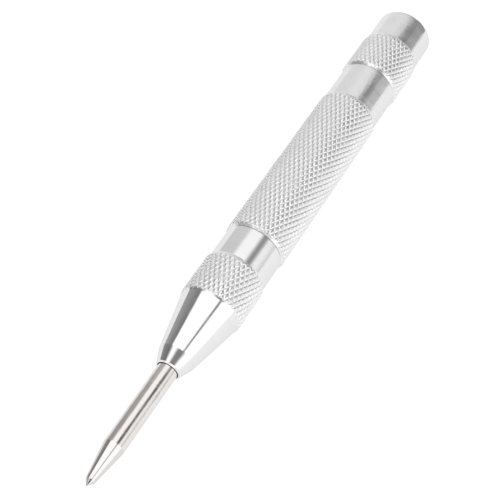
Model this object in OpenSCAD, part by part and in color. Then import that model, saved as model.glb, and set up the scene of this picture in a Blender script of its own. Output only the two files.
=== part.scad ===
// Automatic center punch: spring driven, with a screw cap that sets the blow.
// The tool lies along X. The tip of the point is at the origin, and the cap is toward +X.
// Every length is in millimetres.

/* [Punch] */
// Diameter of the punch's round shank
shank_d = 4.2; // [4:0.1:4.4]
// Length of the shank that stands out of the nose, point included
shank_out = 27.3; // [24:0.1:30]
// Included angle of the ground point, in degrees
point_angle = 72; // [50:1:90]
// Length of the slim taper behind the point
taper_l = 7.6; // [5:0.1:9]
// Travel of the punch into the nose before the hammer drops
stroke = 9; // [7:0.5:9]

/* [Nose sleeve] */
// Length of the main polished cone
cone_l = 12.4; // [11:0.1:14]
// Length of the short steep cone at the nose face
steep_l = 3.1; // [2.5:0.1:4]
// Length of the knurl behind the cone
nose_knurl_l = 9.7; // [8:0.1:11]
// Length of the plain polished band between the nose knurl and the barrel
nose_band_l = 7.4; // [6:0.1:9]

/* [Barrel] */
// Diameter over the knurls
knurl_d = 13.1; // [12.8:0.1:13.6]
// Diameter of the plain bands between the knurls
band_d = 12.35; // [12.2:0.05:12.5]
// Length of the grip knurl
grip_l = 41.1; // [39:0.1:44]
// Length of the plain band behind the grip knurl
barrel_band_l = 9.7; // [8:0.1:12]

/* [Cap] */
// Length of the cap's knurl
cap_knurl_l = 10.8; // [9:0.1:12]
// Length of the plain end of the cap
cap_end_l = 8.5; // [7.5:0.1:10]
// Rounding of the cap's rear edge
cap_round = 1.1; // [0.6:0.1:1.5]

/* [Threads] */
// Outside diameter of both screw threads
thread_d = 10; // [9.8:0.1:10.4]
// Length of the thread that joins nose and barrel
front_thread_l = 7.6; // [6:0.1:8]
// Length of the thread that carries the cap
rear_thread_l = 9; // [8:0.1:9.5]

/* [Hidden] */
$fn = 96;
fit = 0.04;          // running clearance on a radius
slack = 0.05;        // gap between faces that bear on each other
relief = 0.4;        // depth of a thread undercut
relief_l = 1;
knurl_bevel = 0.5;   // chamfer at the front end of a knurl
knurl_run_out = 0.8; // slope at the rear end of a knurl
edge = 0.25;         // small broken edge

shank_r = shank_d / 2;
knurl_r = knurl_d / 2;
band_r = band_d / 2;
thread_r = thread_d / 2;

// Stations along the tool, from the tip
nose_x = shank_out;
cone_x = nose_x + steep_l;
nose_knurl_x = cone_x + cone_l;
nose_band_x = nose_knurl_x + nose_knurl_l;
barrel_x = nose_band_x + nose_band_l;
barrel_band_x = barrel_x + grip_l;
cap_x = barrel_band_x + barrel_band_l;
cap_end_x = cap_x + cap_knurl_l;
end_x = cap_end_x + cap_end_l;

// Punch
point_r = 0.95;
point_l = point_r / tan(point_angle / 2);
collar_r = 3.4;
collar_l = 3;
collar_x = nose_knurl_x + 1.7;
cup_r = 1.2;
punch_end_x = collar_x + collar_l + 1.5;
ball_x = punch_end_x;

// Nose sleeve
nose_face_r = 2.3;
nose_lip_r = 2.6;
nose_lip_l = 0.22;
nose_mouth_r = 2.26;
nose_mouth_l = 0.9;
nose_bevel_l = 0.55;
nose_bevel_drop = 0.3;
steep_r = 3.78;
nose_chamber_r = 3.6;

// Striker pin: its ball sits in the punch's cup, and it leans until the barrel's web centres it
ball_r = cup_r - slack;
lean = 1.35;
pin_shank_r = 1.8;
pin_stem_r = 1.2;
pin_collar_r = 3.05;
pin_collar_x = ball_x + 3;
pin_collar_l = 2.4;
pin_stem_x = ball_x + 13.3;

// Barrel
web_x = barrel_x + 12.1;
web_l = 5;
web_r = pin_shank_r + 0.1;
hammer_chamber_r = 3.9;
hammer_x = web_x + web_l;
pin_end_x = hammer_x - 0.2;

// Hammer
hammer_r = hammer_chamber_r - 0.08;
hammer_l = 22;
hammer_hole_r = 1.4;
hammer_hole_l = stroke - 1;
spigot_r = 2.3;
spigot_l = 3;

// Cap and spring seat
cap_cavity_x = cap_x + relief_l + rear_thread_l + 0.4;
cap_cavity_r = 4.3;
cap_wall_x = end_x - 3.5;
seat_l = 1.9;
seat_x = cap_wall_x - slack - seat_l;

// Springs
return_wire_r = 0.25;
return_coil_r = 2.5;
return_turns = 10;
main_wire_r = 0.5;
main_coil_r = 3;
main_turns = 11;

// A solid turned about the tool's axis from [x, radius] corners, first and last on the axis
module turned(corners)
  rotate([0, 90, 0])
    rotate_extrude()
      polygon([for (c = corners) [c[1], c[0]]]);

// A plain cylinder on the axis from one station to another
module rod(x0, x1, r0, r1 = undef)
  translate([x0, 0, 0])
    rotate([0, 90, 0])
      cylinder(h = x1 - x0, r1 = r0, r2 = is_undef(r1) ? r0 : r1);

// Axial place of a coil spring's wire after t turns: its first and last turns lie closed
function coil_run(t, turns, length, wire) =
  let (closed = 2 * wire * 1.04,
       open = (length - 2 * wire - 2 * closed) / (turns - 2))
  wire + (t < 1 ? t * closed
        : t > turns - 1 ? length - 2 * wire - (turns - t) * closed
        : closed + (t - 1) * open);

// A coil spring on the axis, swept as a round wire
module coil(x0, length, coil_r, wire, turns) {
  steps = 20;
  sides = 8;
  last = turns * steps;
  points = [for (i = [0:last], k = [0:sides - 1])
    let (turn = i * 360 / steps,
         around = k * 360 / sides,
         r = coil_r + wire * cos(around))
    [x0 + coil_run(i / steps, turns, length, wire) + wire * sin(around), r * cos(turn), r * sin(turn)]];
  walls = [for (i = [0:last - 1], k = [0:sides - 1])
    let (next = (k + 1) % sides)
    [i * sides + k, (i + 1) * sides + k, (i + 1) * sides + next, i * sides + next]];
  first_end = [for (k = [0:sides - 1]) k];
  last_end = [for (k = [sides - 1:-1:0]) last * sides + k];
  polyhedron(points, concat(walls, [first_end, last_end]));
}

// Knurled front sleeve: polished cone outside, guide bore and collar chamber inside
module nose_sleeve()
  color([0.8, 0.8, 0.81])
    difference() {
      turned([
        [nose_x, 0],
        [nose_x, nose_face_r],
        [nose_x + nose_lip_l, nose_lip_r],
        [cone_x, steep_r],
        [nose_knurl_x - nose_bevel_l, knurl_r - nose_bevel_drop],
        [nose_knurl_x, knurl_r],
        [nose_band_x - knurl_run_out, knurl_r],
        [nose_band_x, band_r],
        [barrel_x - edge, band_r],
        [barrel_x, band_r - edge],
        [barrel_x, thread_r - relief],
        [barrel_x + relief_l, thread_r - relief],
        [barrel_x + relief_l + relief, thread_r],
        [barrel_x + front_thread_l - relief, thread_r],
        [barrel_x + front_thread_l, thread_r - relief],
        [barrel_x + front_thread_l, 0]
      ]);
      rod(nose_x - 1, collar_x, shank_r + fit);
      rod(nose_x - slack, nose_x + nose_mouth_l, nose_mouth_r, shank_r + fit);
      rod(collar_x - slack, barrel_x + front_thread_l + 1, nose_chamber_r);
    }

// Hardened punch: ground point, slim taper, shank, collar, and the cup that holds the pin's ball
module punch()
  color([0.66, 0.62, 0.6])
    difference() {
      turned([
        [0, 0],
        [point_l, point_r],
        [point_l + taper_l, shank_r],
        [collar_x, shank_r],
        [collar_x, collar_r - edge],
        [collar_x + edge, collar_r],
        [collar_x + collar_l - edge, collar_r],
        [collar_x + collar_l, collar_r - edge],
        [collar_x + collar_l, shank_r],
        [punch_end_x, shank_r],
        [punch_end_x, 0]
      ]);
      translate([ball_x, 0, 0])
        rotate([0, 90, 0])
          rotate_extrude()
            intersection() {
              circle(cup_r);
              translate([0, -cup_r])
                square([cup_r, 2 * cup_r]);
            }
    }

// Light spring that keeps the striker pin and the punch forward
module return_spring()
  color([0.5, 0.5, 0.52])
    coil(pin_collar_x + pin_collar_l + 3 * slack, web_x - pin_collar_x - pin_collar_l - 4 * slack,
         return_coil_r, return_wire_r, return_turns);

// Striker pin, leaning about its ball so that its end rests on the hammer's face beside the hole
module striker_pin()
  color([0.6, 0.6, 0.62])
    translate([ball_x, 0, 0])
      rotate([0, -lean, 0])
        translate([-ball_x, 0, 0]) {
          translate([ball_x, 0, 0])
            rotate([0, 90, 0])
              sphere(ball_r);
          turned([
            [ball_x, 0],
            [ball_x, 0.9],
            [ball_x + 1.2, 0.9],
            [ball_x + 2, pin_shank_r],
            [pin_collar_x, pin_shank_r],
            [pin_collar_x, pin_collar_r],
            [pin_collar_x + pin_collar_l, pin_collar_r],
            [pin_collar_x + pin_collar_l, pin_shank_r],
            [pin_stem_x, pin_shank_r],
            [pin_stem_x + 2, pin_stem_r],
            [pin_end_x - edge, pin_stem_r],
            [pin_end_x, pin_stem_r - edge],
            [pin_end_x, 0]
          ]);
        }

// Knurled barrel: thread bore, web that centres the pin, hammer chamber, and the cap's thread
module barrel()
  color([0.78, 0.78, 0.79])
    difference() {
      turned([
        [barrel_x + slack, 0],
        [barrel_x + slack, band_r],
        [barrel_x + slack + knurl_bevel, knurl_r],
        [barrel_band_x - knurl_run_out, knurl_r],
        [barrel_band_x, band_r],
        [cap_x - edge - slack, band_r],
        [cap_x - slack, band_r - edge],
        [cap_x - slack, thread_r - relief],
        [cap_x + relief_l, thread_r - relief],
        [cap_x + relief_l + relief, thread_r],
        [cap_x + rear_thread_l - relief, thread_r],
        [cap_x + rear_thread_l, thread_r - relief],
        [cap_x + rear_thread_l, 0]
      ]);
      rod(barrel_x - 1, barrel_x + front_thread_l + 0.5, thread_r + slack);
      rod(barrel_x, web_x, nose_chamber_r);
      rod(web_x - slack, web_x + 1.2, return_coil_r - return_wire_r - slack, web_r);
      rod(web_x, hammer_x + 1, web_r);
      rod(hammer_x, cap_x + rear_thread_l + 1, hammer_chamber_r);
    }

// Hammer: a heavy slug with a blind hole for the pin, and a spigot inside the main spring
module hammer()
  color([0.55, 0.55, 0.57])
    difference() {
      turned([
        [hammer_x + slack, 0],
        [hammer_x + slack, hammer_r - edge],
        [hammer_x + slack + edge, hammer_r],
        [hammer_x + hammer_l - edge, hammer_r],
        [hammer_x + hammer_l, hammer_r - edge],
        [hammer_x + hammer_l, spigot_r],
        [hammer_x + hammer_l + spigot_l - edge, spigot_r],
        [hammer_x + hammer_l + spigot_l, spigot_r - edge],
        [hammer_x + hammer_l + spigot_l, 0]
      ]);
      rod(hammer_x - 1, hammer_x + slack + hammer_hole_l, hammer_hole_r);
    }

// Stiff spring that drives the hammer
module main_spring()
  color([0.5, 0.5, 0.52])
    coil(hammer_x + hammer_l + slack, seat_x - hammer_x - hammer_l - 2 * slack,
         main_coil_r, main_wire_r, main_turns);

// Disc between the main spring and the turning cap, so that the spring itself doesn't turn
module spring_seat()
  color([0.7, 0.62, 0.4])
    turned([
      [seat_x - spigot_l, 0],
      [seat_x - spigot_l, spigot_r - edge],
      [seat_x - spigot_l + edge, spigot_r],
      [seat_x, spigot_r],
      [seat_x, cap_cavity_r - 0.1],
      [seat_x + seat_l, cap_cavity_r - 0.1],
      [seat_x + seat_l, 0]
    ]);

// Knurled screw cap: it closes the barrel and presses the main spring through the seat
module cap()
  color([0.78, 0.78, 0.79])
    difference() {
      rotate([0, 90, 0])
        rotate_extrude()
          polygon(concat(
            [
              [0, cap_x],
              [band_r, cap_x],
              [knurl_r, cap_x + knurl_bevel],
              [knurl_r, cap_end_x - knurl_run_out],
              [band_r, cap_end_x]
            ],
            [for (a = [0:10:90]) [band_r - cap_round + cap_round * cos(a), end_x - cap_round + cap_round * sin(a)]],
            [[0, end_x]]
          ));
      rod(cap_x - 1, cap_cavity_x, thread_r + slack);
      rod(cap_cavity_x - slack, cap_wall_x, cap_cavity_r);
    }

nose_sleeve();
punch();
return_spring();
striker_pin();
barrel();
hammer();
main_spring();
spring_seat();
cap();
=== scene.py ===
"""Looks of the automatic center punch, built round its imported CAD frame.

The tool lies along X with its tip at the origin. Lengths are millimetres until a mesh is made.
"""

import math
import random

import bpy
import numpy as np
from mathutils import Matrix, Vector


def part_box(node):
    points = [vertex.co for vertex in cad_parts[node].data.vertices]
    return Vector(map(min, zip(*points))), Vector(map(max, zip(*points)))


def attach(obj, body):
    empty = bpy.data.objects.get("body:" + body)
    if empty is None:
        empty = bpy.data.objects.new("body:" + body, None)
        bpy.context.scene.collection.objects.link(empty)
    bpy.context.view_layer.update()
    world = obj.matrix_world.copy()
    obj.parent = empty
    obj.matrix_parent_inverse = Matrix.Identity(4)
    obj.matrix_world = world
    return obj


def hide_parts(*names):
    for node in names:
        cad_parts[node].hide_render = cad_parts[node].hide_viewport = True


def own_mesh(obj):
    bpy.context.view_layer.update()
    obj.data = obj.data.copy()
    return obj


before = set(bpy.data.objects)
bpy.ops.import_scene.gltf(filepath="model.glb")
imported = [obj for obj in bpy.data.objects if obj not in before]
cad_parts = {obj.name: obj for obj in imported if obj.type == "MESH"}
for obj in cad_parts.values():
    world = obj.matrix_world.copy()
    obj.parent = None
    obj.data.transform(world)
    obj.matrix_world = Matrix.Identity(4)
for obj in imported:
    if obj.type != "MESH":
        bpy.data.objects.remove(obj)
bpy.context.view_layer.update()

MM = 0.001                      # a millimetre in the scene's metres


def span(node):
    """First and last station of a CAD node along the tool, in millimetres."""
    low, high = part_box(node)
    return low.x / MM, high.x / MM


def radius_of(node):
    """Outside radius of a CAD node, in millimetres."""
    low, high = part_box(node)
    return (high.y - low.y) / 2 / MM


# ---- stations and radii that the frame gives ----

NOSE_X, NOSE_THREAD_END = span("nose_sleeve")
BARREL_X, BARREL_THREAD_END = span("barrel")
CAP_X, END_X = span("cap")
PUNCH_END = span("punch")[1]
KNURL_R = radius_of("barrel")
COLLAR_R = radius_of("punch")

# ---- the tool's own driving sizes ----

EDGE = 0.15                     # bevel on a turned edge
JOINT_GAP = 0.05                # between two pieces that meet, and round a thread
BORE_GAP = 0.04                 # between the shank and the sleeve round it

POINT_R = 0.95
POINT_HALF_ANGLE = math.radians(36)
TAPER_L = 7.6
SHANK_R = 2.1
COLLAR_L = 3.0
COLLAR_TO_END = 4.5             # from the collar's front to the punch's rear end
CUP_R = 1.2                     # the round cup that the striker pin stands in

NOSE_FACE_R = 2.3
NOSE_LIP_R = 2.6
NOSE_LIP_L = 0.22
NOSE_MOUTH_R = 2.26
NOSE_MOUTH_L = 0.9
STEEP_L = 3.1
STEEP_R = 3.78
CONE_L = 12.4
NOSE_KNURL_L = 9.7
NOSE_BEVEL_L = 0.55             # the steeper bevel between the nose cone and its knurl
NOSE_BEVEL_DROP = 0.3

GRIP_L = 41.1
CAP_KNURL_L = 10.8
CAP_ROUND = 1.1
BAND_DROP = 0.375               # how far the plain bands lie below the knurls
RUN_OUT = 0.8                   # length of the slope from a knurl down to the band behind it
FRONT_BEVEL = 0.5
PLAIN_BEVEL = 0.36              # the part of a front bevel that the knurl leaves plain
KNURL_STEP = 0.02               # from a knurl's last ring to the first ring of the band behind it

THREAD_R = 5.0
THREAD_PITCH = 0.75
THREAD_DEPTH = 0.42
THREAD_FLANK = 2.7              # how steeply a thread rises from its root
THREAD_ROOT_FLAT = 0.1          # how far that rise starts below the root, which leaves the root flat
THREAD_END_L = 0.1              # from a thread's last turn to the end of its piece
UNDERCUT_L = 1.0

FRONT_SOCKET_L = 8.05           # the barrel's bore for the nose sleeve's thread
SPRING_BORE_R = 3.6
WEB_DISTANCE = 12.05            # from the barrel's front end to the web inside it
WEB_L = 5.0
WEB_R = 1.9
FUNNEL_L = 1.2
FUNNEL_R = 2.2
HAMMER_BORE_R = 3.9
CAP_SOCKET_L = 10.35            # the cap's bore for the barrel's thread
CAP_SPRING_BORE_R = 4.3
CAP_WALL = 3.5
CAP_CENTRE_R = 2.5              # a ring on the cap's flat end

RETURN_COIL_R = 2.5
RETURN_WIRE_R = 0.245
RETURN_TURNS = 10
MAIN_COIL_R = 3.0
MAIN_WIRE_R = 0.49
MAIN_TURNS = 11

# ---- what follows from them ----

POINT_L = POINT_R / math.tan(POINT_HALF_ANGLE)
BAND_R = KNURL_R - BAND_DROP
THREAD_ROOT_R = THREAD_R - THREAD_DEPTH
THREAD_BORE_R = THREAD_R + JOINT_GAP
SHANK_BORE_R = SHANK_R + BORE_GAP
CONE_X = NOSE_X + STEEP_L
NOSE_KNURL_X = CONE_X + CONE_L
NOSE_BAND_X = NOSE_KNURL_X + NOSE_KNURL_L
BARREL_BAND_X = BARREL_X + GRIP_L
CAP_END_X = CAP_X + CAP_KNURL_L
COLLAR_X = PUNCH_END - COLLAR_TO_END
WEB_X = BARREL_X + WEB_DISTANCE

# ---- the diamond knurl: 36 grooves round each way, at about 30 degrees ----

KNURL_LINES = 36
KNURL_PITCH = 1.02              # half a diamond's length along the tool
KNURL_DEPTH = 0.2
GROOVE_HALF = 0.22              # from a groove's middle to the flat land, as a share of the groove spacing
LAND_TILT = 0.010               # how unevenly the worn lands stand
CREST_DROP = 0.002              # keeps every crest just inside the CAD piece
NOSE_WEAR = 3                   # random seeds of the wear on the three knurls
BARREL_WEAR = 5
CAP_WEAR = 11

# ---- how finely the meshes are made ----

SIDES = 144                     # vertices round a plain turned ring
THREAD_RINGS = 8                # rings for each turn of a thread
CUP_RINGS = 7
CUP_LAST_TURN = 0.2             # radians between the cup's axis and the last ring before its middle
ROUND_RINGS = 20
TIP_RING = 1 / 20               # an extra ring near the very tip, as a share of the point, for even shading
CREASE_ANGLE = math.radians(7)


class Skin:
    """The skin of a turned piece, built from ring to ring. A ring is a list of (angle, vertex) pairs."""

    def __init__(self):
        self.vertices = []
        self.faces = []
        self.cut = []       # vertices of knurls and threads
        self.first = None
        self.last = None

    def point(self, x, radius, angle):
        self.vertices.append((x * MM, radius * math.cos(angle) * MM, radius * math.sin(angle) * MM))
        return len(self.vertices) - 1

    def join(self, ring):
        """Fills the strip between the last ring and this one with triangles, going round both at once."""
        if self.last is None:
            self.first = self.last = ring
            return
        near, far = self.last, ring
        i = j = 0
        while i < len(near) or j < len(far):
            near_next = near[(i + 1) % len(near)][0] + 2 * math.pi * ((i + 1) // len(near))
            far_next = far[(j + 1) % len(far)][0] + 2 * math.pi * ((j + 1) // len(far))
            a, b = near[i % len(near)][1], far[j % len(far)][1]
            if j == len(far) or len(far) == 1 or (i < len(near) and len(near) > 1 and near_next <= far_next):
                i += 1
                self.faces.append((a, near[i % len(near)][1], b))
            else:
                j += 1
                self.faces.append((a, far[j % len(far)][1], b))
            if (len(near) == 1 and j == len(far)) or (len(far) == 1 and i == len(near)):
                break
        self.last = ring

    def ring(self, x, radius_at):
        """A ring whose radius depends on the angle."""
        angles = [2 * math.pi * side / SIDES for side in range(SIDES)]
        return [(angle, self.point(x, radius_at(angle), angle)) for angle in angles]

    def turn(self, *corners):
        """Plain turned surface through (x, radius) corners."""
        for x, radius in corners:
            if radius == 0:
                self.join([(0.0, self.point(x, 0, 0))])
            else:
                self.join(self.ring(x, lambda angle: radius))

    def thread(self, x_start, x_end):
        """A right-hand thread, with its first and last turn tapered away."""
        least_height = 0.02
        steps = round((x_end - x_start) / THREAD_PITCH * THREAD_RINGS)
        for step in range(steps + 1):
            x = x_start + (x_end - x_start) * step / steps
            turns_from_end = min(x - x_start, x_end - x) / THREAD_PITCH
            height = min(1, max(least_height, turns_from_end))

            def radius_at(angle):
                turn = x / THREAD_PITCH - angle / (2 * math.pi)
                ridge = min(1, max(0, THREAD_FLANK * to_groove(turn) - THREAD_ROOT_FLAT))
                return THREAD_R - THREAD_DEPTH * (1 - ridge * height)

            ring = self.ring(x, radius_at)
            self.cut += [vertex for _, vertex in ring]
            self.join(ring)

    def knurl(self, x_start, x_end, envelope, wear_seed):
        """A diamond knurl. The envelope gives the largest radius at each station, and slopes its ends.

        Its mesh lines run along the two sets of grooves. Those past an end are moved onto the end's circle.
        """
        dice = random.Random(wear_seed)
        across = [0, GROOVE_HALF / 2, GROOVE_HALF, 0.5, 1 - GROOVE_HALF, 1 - GROOVE_HALF / 2]
        lines = len(across) * KNURL_LINES
        tilts = {}
        corners = {}

        def phase(line):
            return line // len(across) + across[line % len(across)]

        def station(i, j):
            return x_start + (phase(i) - phase(j)) * KNURL_PITCH

        def corner(i, j):
            key = (i % lines, (j - i + i % lines))
            if key not in corners:
                one, other = phase(key[0]), phase(key[1])
                angle = (one + other) / KNURL_LINES * math.pi % (2 * math.pi)
                x = min(x_end, max(x_start, station(*key)))
                diamond = (math.floor(one), math.floor(other))
                tilt = tilts.setdefault(diamond, [dice.uniform(-LAND_TILT, LAND_TILT) for _ in range(3)])
                from_groove = min(to_groove(one), to_groove(other))
                on_land = min(1, from_groove / GROOVE_HALF)
                lean = tilt[0] * (one % 1 - 0.5) + tilt[1] * (other % 1 - 0.5)
                worn = on_land * (lean + tilt[2] / 2 - LAND_TILT)
                radius = KNURL_R - CREST_DROP + worn - KNURL_DEPTH * (1 - on_land) ** 2
                corners[key] = (angle, self.point(x, min(radius, envelope(x)), angle))
                if x_start < x < x_end:
                    self.cut.append(corners[key][1])
            return corners[key]

        ends = ({}, {})
        reach = math.ceil((x_end - x_start) / KNURL_PITCH) * len(across)
        for i in range(lines):
            for j in range(i - reach - len(across), i + len(across)):
                quad = [(i, j), (i + 1, j), (i + 1, j + 1), (i, j + 1)]
                stations = [station(*spot) for spot in quad]
                if max(stations) <= x_start or min(stations) >= x_end:
                    continue
                found = [corner(*spot) for spot in quad]
                ids = [vertex for _, vertex in found]
                self.faces.append((ids[0], ids[2], ids[1]))
                self.faces.append((ids[0], ids[3], ids[2]))
                for place, (angle, vertex) in zip(stations, found):
                    if place <= x_start:
                        ends[0][vertex] = angle
                    if place >= x_end:
                        ends[1][vertex] = angle
        front, rear = [sorted((angle, vertex) for vertex, angle in end.items()) for end in ends]
        self.join(front)
        self.last = rear

    def close(self):
        """Joins the last ring back to the first."""
        self.join(self.first)

    def piece(self, name):
        mesh = bpy.data.meshes.new(name)
        mesh.from_pydata(self.vertices, [], self.faces)
        mesh.validate()
        mesh.shade_smooth()
        crease(mesh, self.cut)
        made = bpy.data.objects.new(name, mesh)
        bpy.context.scene.collection.objects.link(made)
        return made


def to_groove(phase):
    """0 at a groove, which lies at each whole number, and 0.5 halfway between two grooves."""
    return 0.5 - abs(0.5 - phase % 1)


def crease(mesh, cut_vertices):
    """Sharp edges at every turned corner, but none inside a cut knurl or thread."""
    ends = np.empty(len(mesh.edges) * 2, int)
    mesh.edges.foreach_get("vertices", ends)
    is_cut = np.zeros(len(mesh.vertices), bool)
    is_cut[cut_vertices] = True
    both_cut = is_cut[ends].reshape(-1, 2).all(axis=1)
    mesh.set_sharp_from_angle(angle=CREASE_ANGLE)
    sharp = np.zeros(len(mesh.edges), bool)
    mesh.attributes["sharp_edge"].data.foreach_get("value", sharp)
    mesh.attributes["sharp_edge"].data.foreach_set("value", sharp & ~both_cut)
    mesh.update()


def coil_piece(name, node, coil_r, wire_r, turns):
    """A round-wire compression spring over a CAD spring's span, with closed end turns."""
    x_start, x_end = span(node)
    length = x_end - x_start
    closed = 2 * wire_r * 1.04      # pitch of an end turn, with its wires almost touching
    open_pitch = (length - 2 * wire_r - 2 * closed) / (turns - 2)
    steps = 40                      # rings of vertices in each turn
    sides = 14
    vertices, faces = [], []
    for i in range(turns * steps + 1):
        t = i / steps
        if t < 1:
            run = t * closed
        elif t > turns - 1:
            run = length - 2 * wire_r - (turns - t) * closed
        else:
            run = closed + (t - 1) * open_pitch
        for k in range(sides):
            around = 2 * math.pi * k / sides
            r = (coil_r + wire_r * math.cos(around)) * MM
            x = (x_start + wire_r + run + wire_r * math.sin(around)) * MM
            vertices.append((x, r * math.cos(2 * math.pi * t), r * math.sin(2 * math.pi * t)))
    for i in range(turns * steps):
        for k in range(sides):
            n = (k + 1) % sides
            faces.append((i * sides + k, i * sides + n, (i + 1) * sides + n, (i + 1) * sides + k))
    faces.append(tuple(range(sides - 1, -1, -1)))
    faces.append(tuple(range(turns * steps * sides, turns * steps * sides + sides)))
    mesh = bpy.data.meshes.new(name)
    mesh.from_pydata(vertices, [], faces)
    mesh.shade_smooth()
    piece = bpy.data.objects.new(name, mesh)
    bpy.context.scene.collection.objects.link(piece)
    return piece


# ---- materials ----

class Nodes:
    """Short calls for building one node tree."""

    def __init__(self, tree):
        self.tree = tree
        tree.nodes.clear()

    def put(self, value, socket):
        if isinstance(value, bpy.types.NodeSocket):
            self.tree.links.new(value, socket)
        else:
            socket.default_value = value

    def add(self, kind, inputs=None, **settings):
        made = self.tree.nodes.new(kind)
        for key, value in settings.items():
            setattr(made, key, value)
        for key, value in (inputs or {}).items():
            self.put(value, made.inputs[key])
        return made

    def math(self, operation, a, b=0.0):
        return self.add("ShaderNodeMath", {0: a, 1: b}, operation=operation).outputs[0]

    def span(self, value, low, high, to_low=0.0, to_high=1.0, smooth=False):
        made = self.add("ShaderNodeMapRange", {0: value, 1: low, 2: high, 3: to_low, 4: to_high})
        made.interpolation_type = "SMOOTHSTEP" if smooth else "LINEAR"
        return made.outputs[0]

    def blend(self, share, a, b):
        """Number a where share is 0, and number b where share is 1."""
        return self.add("ShaderNodeMix", {0: share, 2: a, 3: b}, data_type="FLOAT").outputs[0]

    def noise(self, vector, scale, detail=3.0, roughness=0.5):
        inputs = {"Vector": vector, "Scale": scale, "Detail": detail, "Roughness": roughness}
        return self.add("ShaderNodeTexNoise", inputs).outputs[0]

    def stretched(self, vector, x, y, z):
        return self.add("ShaderNodeMapping", {"Vector": vector, "Scale": (x, y, z)}).outputs[0]

    def ramp(self, value, low, high, stops):
        """A number that follows (value, level) stops between low and high, in straight lines."""
        made = self.add("ShaderNodeValToRGB", {0: self.span(value, low, high)})
        elements = made.color_ramp.elements
        elements.remove(elements[1])
        for index, (place, level) in enumerate(stops):
            share = (place - low) / (high - low)
            if index == 0:
                elements[0].position = share
                stop = elements[0]
            else:
                stop = elements.new(share)
            stop.color = (level, level, level, 1)
        return made.outputs[0]


def metal(name, tint, roughness, lines, line_depth, scratches, waviness=0.0, dark_rough_hollows=False,
          edge_tint=0.88):
    """Bare or plated metal: turning lines round the tool, fine scratches, smudges, and hollows a little
    darker and rougher than the crests.

    Lines are per millimetre. Line_depth and waviness are heights in millimetres, and scratches is how much
    roughness the scratches add. Edge_tint is how bright the reflection is at a glancing angle.
    """
    material = bpy.data.materials.new(name)
    material.use_nodes = True
    n = Nodes(material.node_tree)
    metres = n.add("ShaderNodeTexCoord").outputs["Object"]
    place = n.add("ShaderNodeVectorMath", {0: metres, "Scale": 1 / MM}, operation="SCALE").outputs[0]

    # Noise is stretched into lines by scaling it less round the tool than along it, or the other way.
    turning = n.noise(n.stretched(place, lines, 0.05, 0.05), 1.0, 4.0, 0.65)
    coarse_turning = n.noise(n.stretched(place, lines / 5, 0.12, 0.12), 1.0, 2.0)
    scratch = n.noise(n.stretched(place, 0.5, 9.0, 9.0), 1.0, 5.0, 0.7)
    wave = n.noise(n.stretched(place, 0.35, 1.6, 1.6), 1.0, 2.0)
    smudge = n.noise(place, 0.22, 3.0)
    speck = n.noise(place, 14.0, 2.0)

    line_gloss = n.span(turning, 0.3, 0.7, -1.0, 1.0)
    coarse_gloss = n.span(coarse_turning, 0.35, 0.65, -0.6, 0.6)
    uneven = n.math("MULTIPLY", n.math("ADD", line_gloss, coarse_gloss), roughness * 0.5)
    grime = n.span(smudge, 0.4, 0.75, 0.0, roughness * 0.5)
    scratched = n.span(scratch, 0.55, 0.75, 0.0, scratches)
    rough = n.math("ADD", n.math("ADD", n.math("ADD", uneven, roughness), grime), scratched)

    shade = n.span(n.math("ADD", turning, n.math("MULTIPLY", speck, 0.4)), 0.5, 0.9, 0.93, 1.0)
    if dark_rough_hollows:
        # Where the surface is hollow, its colour is made a little darker and its roughness a little higher.
        height = n.add("ShaderNodeNewGeometry").outputs["Pointiness"]
        shade = n.math("MULTIPLY", shade, n.span(height, 0.44, 0.52, 0.96, 1.0))
        rough = n.math("ADD", rough, n.span(height, 0.42, 0.5, 0.08, 0.0))
    colour = n.add("ShaderNodeVectorMath", {0: tint, "Scale": shade}, operation="SCALE").outputs[0]

    cuts = n.math("ADD", turning, n.math("MULTIPLY", coarse_turning, 0.8))
    cuts = n.math("ADD", cuts, n.math("MULTIPLY", scratch, 0.25))
    relief = n.math("ADD", n.math("MULTIPLY", cuts, line_depth), n.math("MULTIPLY", wave, waviness))
    bump = n.add("ShaderNodeBump", {"Strength": 1.0, "Distance": MM, "Height": relief})
    surface = n.add("ShaderNodeBsdfPrincipled", {
        "Base Color": colour,
        "Metallic": 1.0,
        "Specular Tint": (edge_tint, edge_tint, edge_tint, 1),
        "Roughness": rough,
        "Normal": bump.outputs[0],
    })
    n.add("ShaderNodeOutputMaterial", {"Surface": surface.outputs[0]})
    return material


CHROME = (0.77, 0.77, 0.77)
BRIGHT_CHROME = (0.82, 0.82, 0.82)
STEEL = (0.76, 0.727, 0.71)
GROUND_STEEL = (0.68, 0.667, 0.66)
INNER_STEEL = (0.6, 0.6, 0.62)
SPRING_STEEL = (0.5, 0.5, 0.52)
# Near-black steel, a painted shadow for the dark gap inside the nose's bore.
BORE_SHADOW_STEEL = (0.05, 0.05, 0.05)

polished = metal("polished_chrome", CHROME, roughness=0.1, lines=3.0, line_depth=0.0015, scratches=0.03,
                 waviness=0.004)
knurled = metal("knurled_chrome", BRIGHT_CHROME, roughness=0.27, lines=2.0, line_depth=0.004, scratches=0.05,
                dark_rough_hollows=True, edge_tint=1.0)
turned = metal("turned_chrome", CHROME, roughness=0.18, lines=1.8, line_depth=0.007, scratches=0.05,
               waviness=0.03)
hardened = metal("hardened_steel", STEEL, roughness=0.14, lines=2.5, line_depth=0.004, scratches=0.05,
                 waviness=0.024)
ground = metal("ground_steel", GROUND_STEEL, roughness=0.09, lines=3.5, line_depth=0.001, scratches=0.03)
# The near-black inside of the nose's bore is painted shadow.
painted_bore_shadow = metal("painted_bore_shadow", BORE_SHADOW_STEEL, roughness=0.5, lines=4.0, line_depth=0.004, scratches=0.08)
spring_wire = metal("spring_wire", SPRING_STEEL, roughness=0.25, lines=4.0, line_depth=0.002, scratches=0.08)
inner = metal("inner_steel", INNER_STEEL, roughness=0.3, lines=4.0, line_depth=0.004, scratches=0.08)


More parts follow.
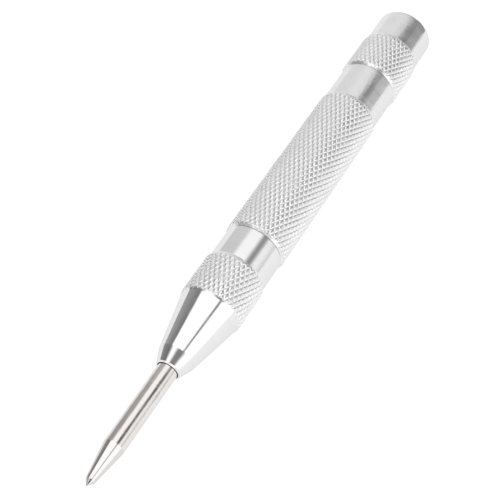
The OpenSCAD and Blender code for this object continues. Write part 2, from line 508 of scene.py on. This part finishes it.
def paint(piece, *zones):
    """Gives each (material, x_from, x_to) zone of a turned piece its material.

    The first material is used outside all zones, and a later zone covers an earlier one.
    """
    for material, _, _ in zones:
        piece.data.materials.append(material)
    for face in piece.data.polygons:
        x = face.center.x / MM
        for index, (_, x_from, x_to) in enumerate(zones):
            if x_from < x < x_to:
                face.material_index = index


def darken_bore(piece, radius):
    """Gives the faces inside a bore a near-black metal, which is painted shadow for the dark gap round the
    shank.
    """
    piece.data.materials.append(painted_bore_shadow)
    for face in piece.data.polygons:
        if math.hypot(face.center.y, face.center.z) < radius * MM:
            face.material_index = len(piece.data.materials) - 1


# ---- the outer pieces ----

def rear_slope(x, x_end):
    """Largest radius of a knurl at a station, where its rear end slopes down to the plain band."""
    return min(KNURL_R, BAND_R + (KNURL_R - BAND_R) * (x_end - x) / RUN_OUT)


def front_bevel(x, x_start):
    """Largest radius of a knurl at a station, where its front edge is bevelled."""
    return min(KNURL_R, KNURL_R - FRONT_BEVEL + x - x_start)


def make_nose_sleeve():
    def envelope(x):
        bevel = KNURL_R - NOSE_BEVEL_DROP * (NOSE_KNURL_X - x) / NOSE_BEVEL_L
        return min(KNURL_R, bevel, rear_slope(x, NOSE_BAND_X))

    knurl_from = NOSE_KNURL_X - NOSE_BEVEL_L / 2

    skin = Skin()
    skin.turn(
        (NOSE_X + NOSE_MOUTH_L, SHANK_BORE_R),
        (NOSE_X, NOSE_MOUTH_R),
        (NOSE_X, NOSE_FACE_R),
        (NOSE_X + NOSE_LIP_L, NOSE_LIP_R),
        (CONE_X, STEEP_R),
        (NOSE_KNURL_X - NOSE_BEVEL_L, KNURL_R - NOSE_BEVEL_DROP),
    )
    skin.knurl(knurl_from, NOSE_BAND_X, envelope, NOSE_WEAR)
    skin.turn(
        (NOSE_BAND_X + KNURL_STEP, BAND_R),
        (BARREL_X - JOINT_GAP - EDGE, BAND_R),
        (BARREL_X - JOINT_GAP, BAND_R - EDGE),
        (BARREL_X - JOINT_GAP, THREAD_ROOT_R),
        (BARREL_X + UNDERCUT_L - JOINT_GAP, THREAD_ROOT_R),
    )
    skin.thread(BARREL_X + UNDERCUT_L, NOSE_THREAD_END - THREAD_END_L)
    skin.turn(
        (NOSE_THREAD_END, THREAD_ROOT_R),
        (NOSE_THREAD_END, SPRING_BORE_R),
        (COLLAR_X - JOINT_GAP, SPRING_BORE_R),
        (COLLAR_X - JOINT_GAP, SHANK_BORE_R),
    )
    skin.close()
    piece = skin.piece("nose_sleeve_skin")
    paint(piece, (polished, 0, END_X), (knurled, knurl_from, NOSE_BAND_X))
    # Paints shadow onto the faces inside the mouth of the nose's bore.
    darken_bore(piece, NOSE_MOUTH_R)
    return piece


def make_barrel():
    def envelope(x):
        return min(front_bevel(x, BARREL_X), rear_slope(x, BARREL_BAND_X))

    skin = Skin()
    skin.turn((BARREL_X, THREAD_BORE_R), (BARREL_X, KNURL_R - FRONT_BEVEL))
    skin.knurl(BARREL_X + PLAIN_BEVEL, BARREL_BAND_X, envelope, BARREL_WEAR)
    skin.turn(
        (BARREL_BAND_X + KNURL_STEP, BAND_R),
        (CAP_X - JOINT_GAP - EDGE, BAND_R),
        (CAP_X - JOINT_GAP, BAND_R - EDGE),
        (CAP_X - JOINT_GAP, THREAD_ROOT_R),
        (CAP_X + UNDERCUT_L - JOINT_GAP, THREAD_ROOT_R),
    )
    skin.thread(CAP_X + UNDERCUT_L, BARREL_THREAD_END - THREAD_END_L)
    skin.turn(
        (BARREL_THREAD_END, THREAD_ROOT_R),
        (BARREL_THREAD_END, HAMMER_BORE_R),
        (WEB_X + WEB_L, HAMMER_BORE_R),
        (WEB_X + WEB_L, WEB_R),
        (WEB_X + FUNNEL_L, WEB_R),
        (WEB_X, FUNNEL_R),
        (WEB_X, SPRING_BORE_R),
        (BARREL_X + FRONT_SOCKET_L, SPRING_BORE_R),
        (BARREL_X + FRONT_SOCKET_L, THREAD_BORE_R),
    )
    skin.close()
    piece = skin.piece("barrel_skin")
    paint(piece, (turned, 0, END_X), (knurled, BARREL_X + PLAIN_BEVEL, BARREL_BAND_X))
    return piece


def make_cap():
    def envelope(x):
        return min(front_bevel(x, CAP_X), rear_slope(x, CAP_END_X))

    skin = Skin()
    skin.turn(
        (END_X - CAP_WALL, 0),
        (END_X - CAP_WALL, CAP_SPRING_BORE_R),
        (CAP_X + CAP_SOCKET_L, CAP_SPRING_BORE_R),
        (CAP_X + CAP_SOCKET_L, THREAD_BORE_R),
        (CAP_X, THREAD_BORE_R),
        (CAP_X, KNURL_R - FRONT_BEVEL),
    )
    skin.knurl(CAP_X + PLAIN_BEVEL, CAP_END_X, envelope, CAP_WEAR)
    skin.turn(
        (CAP_END_X + KNURL_STEP, BAND_R),
        *rounded(END_X, BAND_R, CAP_ROUND),
        (END_X, CAP_CENTRE_R),
        (END_X, 0),
    )
    piece = skin.piece("cap_skin")
    paint(piece, (turned, 0, END_X), (knurled, CAP_X + PLAIN_BEVEL, CAP_END_X))
    return piece


def rounded(x_end, outside_r, edge_r):
    """Corners of the quarter round at the rear edge of a cylinder."""
    turns = [math.pi / 2 * step / ROUND_RINGS for step in range(ROUND_RINGS + 1)]
    x, r = x_end - edge_r, outside_r - edge_r
    return [(x + edge_r * math.sin(t), r + edge_r * math.cos(t)) for t in turns]


def make_punch():
    cup_turns = np.linspace(math.pi / 2, CUP_LAST_TURN, CUP_RINGS)
    cup = [(PUNCH_END - CUP_R * math.cos(t), CUP_R * math.sin(t)) for t in cup_turns]
    skin = Skin()
    skin.turn(
        (0, 0),
        (POINT_L * TIP_RING, POINT_R * TIP_RING),
        (POINT_L, POINT_R),
        (POINT_L + TAPER_L, SHANK_R),
        (COLLAR_X, SHANK_R),
        (COLLAR_X, COLLAR_R - EDGE),
        (COLLAR_X + EDGE, COLLAR_R),
        (COLLAR_X + COLLAR_L - EDGE, COLLAR_R),
        (COLLAR_X + COLLAR_L, COLLAR_R - EDGE),
        (COLLAR_X + COLLAR_L, SHANK_R),
        (PUNCH_END - EDGE, SHANK_R),
        (PUNCH_END, SHANK_R - EDGE),
        *cup,
        (PUNCH_END - CUP_R, 0),
    )
    piece = skin.piece("punch_skin")
    paint(piece, (hardened, -1, END_X), (ground, -1, POINT_L + TAPER_L))
    return piece


def cover(piece, node, body):
    """Puts a made piece in place of a CAD node."""
    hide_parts(node)
    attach(piece, body)


cover(make_nose_sleeve(), "nose_sleeve", "barrel")
cover(make_barrel(), "barrel", "barrel")
cover(make_cap(), "cap", "cap")
cover(make_punch(), "punch", "punch")

# ---- the inner pieces ----

return_spring = coil_piece(
    "return_spring_wire", "return_spring", RETURN_COIL_R, RETURN_WIRE_R, RETURN_TURNS)
return_spring.data.materials.append(spring_wire)
cover(return_spring, "return_spring", "barrel")
main_spring = coil_piece("main_spring_wire", "main_spring", MAIN_COIL_R, MAIN_WIRE_R, MAIN_TURNS)
main_spring.data.materials.append(spring_wire)
cover(main_spring, "main_spring", "spring_seat")


def squeeze(piece):
    """Gives a spring a mesh of its own; the spring is left at its full length."""
    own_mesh(piece)


squeeze(return_spring)
squeeze(main_spring)

for node_name in ("hammer", "spring_seat"):
    for material_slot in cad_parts[node_name].material_slots:
        material_slot.material = inner
for material_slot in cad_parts["striker_pin"].material_slots:
    material_slot.material = hardened


# ---- floor, light and camera ----

FLOOR_SIZE = 4.0                # metres
FLOOR_GAP = 0.02                # below the knurls, so that they don't sink into it


def make_floor():
    """A wide pale floor that the tool lies on."""
    floor_z = -(KNURL_R + FLOOR_GAP)
    bpy.ops.mesh.primitive_plane_add(size=FLOOR_SIZE, location=(END_X / 2 * MM, 0, floor_z * MM))
    floor = bpy.context.object
    floor.name = "studio_floor"
    material = bpy.data.materials.new("pale_floor")
    material.use_nodes = True
    n = Nodes(material.node_tree)
    # It glows, so that it stays nearly white and takes only a faint shadow.
    surface = n.add("ShaderNodeBsdfPrincipled", {
        "Base Color": (0.25, 0.25, 0.25, 1),
        "Roughness": 0.9,
        "Emission Color": (1, 1, 1, 1),
        "Emission Strength": 0.86,
    })
    n.add("ShaderNodeOutputMaterial", {"Surface": surface.outputs[0]})
    floor.data.materials.append(material)


def make_room_light():
    """A dark wall, a soft white top panel, a narrow dark gap and a soft white side panel.

    The room is laid out round the tool's axis. Turn is the angle about X in degrees, 0 to +Y and 90
    straight up, and reach is how far a direction leans toward +X. As the turn grows from 0, these four
    follow one another.
    """
    world = bpy.data.worlds.new("soft_studio")
    world.use_nodes = True
    bpy.context.scene.world = world
    n = Nodes(world.node_tree)
    toward = n.add("ShaderNodeSeparateXYZ", {0: n.add("ShaderNodeTexCoord").outputs["Generated"]})
    reach = toward.outputs[0]
    turn = n.math("MULTIPLY", n.math("ARCTAN2", toward.outputs[2], toward.outputs[1]), 180 / math.pi)
    brightness = 1.5

    def by_reach(*stops):
        """A level that follows (reach, level) stops."""
        return n.ramp(reach, -1, 1, stops)

    def turn_by_reach(*stops):
        """A turn in degrees that follows (reach, degrees) stops."""
        return n.math("MULTIPLY", by_reach(*[(place, degrees / 180) for place, degrees in stops]), 180.0)

    top_panel = by_reach(
        (-0.95, 0.6), (-0.78, 0.95), (-0.4, 1.0), (0.25, 1.0), (0.42, 0.82), (0.54, 0.83), (0.645, 0.70),
        (0.7, 0.52), (0.76, 0.5), (0.95, 0.29))
    wall = by_reach(
        (-0.91, 0.85), (-0.8, 0.55), (-0.5, 0.3), (-0.2, 0.155), (0.1, 0.21), (0.22, 0.245), (0.3, 0.19),
        (0.42, 0.29), (0.53, 0.51), (0.65, 0.63), (0.7, 0.66), (0.78, 0.6), (0.95, 0.5))
    side_panel = by_reach(
        (-0.4, 1.0), (0.25, 1.0), (0.42, 0.72), (0.55, 0.77), (0.645, 0.42), (0.69, 0.26), (0.76, 0.21),
        (0.95, 0.15))
    # The gap's fine steps past a reach of 0.645 make the turning lines of the rear bands show.
    gap = by_reach(
        (-0.9, 1.0), (-0.8, 0.5), (-0.78, 0.05), (-0.75, 0.05), (-0.742, 0.3), (-0.4, 0.17), (-0.15, 0.21),
        (0.0, 0.14), (0.15, 0.14), (0.35, 0.1), (0.42, 0.1), (0.54, 0.26), (0.63, 0.2), (0.645, 0.29),
        (0.66, 0.17), (0.675, 0.27), (0.69, 0.15), (0.705, 0.24), (0.72, 0.14), (0.735, 0.22), (0.75, 0.18),
        (0.95, 0.34), (0.98, 1.0))
    wall_to = turn_by_reach((-0.3, 58), (0.03, 54), (0.22, 50), (0.3, 66), (0.4, 61), (0.54, 63), (0.66, 72))
    gap_from = turn_by_reach(
        (-0.75, 68), (-0.742, 108), (-0.5, 100), (-0.3, 84), (-0.2, 87), (0.0, 118), (0.15, 119.5),
        (0.42, 108), (0.54, 114), (0.645, 113), (0.66, 111), (0.7, 96))
    gap_to = turn_by_reach(
        (-0.75, 157), (-0.742, 130), (-0.3, 134), (-0.2, 134), (0.0, 127), (0.15, 127), (0.42, 136),
        (0.54, 137), (0.645, 139), (0.69, 135))
    # How many degrees an edge between two of them takes, to each side.
    softness = turn_by_reach(
        (-0.3, 13), (0.0, 6), (0.15, 3), (0.42, 8), (0.54, 9), (0.64, 7), (0.68, 5))
    # The wall is brighter at its foot and darker at its top by this share.
    wall_lean = by_reach((-0.2, 0.1), (0.1, 0.2), (0.25, 0.3), (0.4, 0.0))
    # The side panel keeps this share of its level near the floor.
    low_side = by_reach((0.3, 1.0), (0.42, 0.53), (0.55, 0.8), (0.65, 1.0))

    def passed(edge):
        """0 before an edge of the room's turn and 1 past it, over the local softness."""
        return n.span(n.math("DIVIDE", n.math("SUBTRACT", turn, edge), softness), -1.0, 1.0, smooth=True)

    wall_fall = n.math("MULTIPLY", wall_lean, n.span(turn, 5.0, 42.0, 1.0, -1.0))
    wall = n.math("MULTIPLY", wall, n.math("ADD", wall_fall, 1.0))
    near_floor = n.span(turn, 155.0, 175.0, 0.0, 1.0, smooth=True)
    side_panel = n.math("MULTIPLY", side_panel, n.blend(near_floor, 1.0, low_side))
    level = n.blend(passed(wall_to), wall, top_panel)
    level = n.blend(passed(gap_from), level, gap)
    level = n.blend(passed(gap_to), level, side_panel)
    strength = n.math("MULTIPLY", level, brightness)
    light = n.add("ShaderNodeBackground", {"Color": (1, 1, 1, 1), "Strength": strength})
    n.add("ShaderNodeOutputWorld", {"Surface": light.outputs[0]})


def make_camera():
    """The camera looks down at the tool from beyond its point, with the tip at the lower left."""
    elevation = math.radians(51.7)
    swing = math.radians(28.94)
    tip_right = -28.3               # the tip's place as the camera sees it, in millimetres
    tip_down = 40.8
    tip_ahead = 241.5
    right = Vector((math.sin(swing), -math.cos(swing), 0))
    along = Vector((math.cos(swing), math.sin(swing), 0))
    up = along * math.sin(elevation) + Vector((0, 0, math.cos(elevation)))
    back = right.cross(up)
    spot = (tip_down * up - tip_right * right + tip_ahead * back) * MM
    data = bpy.data.cameras.new("camera")
    data.lens = 100.8
    data.sensor_width = 36
    data.clip_start = 0.01
    camera = bpy.data.objects.new("camera", data)
    camera.matrix_world = Matrix.Translation(spot) @ Matrix((right, up, back)).transposed().to_4x4()
    bpy.context.scene.collection.objects.link(camera)
    bpy.context.scene.camera = camera


make_floor()
make_room_light()
make_camera()
bpy.context.scene.view_settings.view_transform = "Standard"
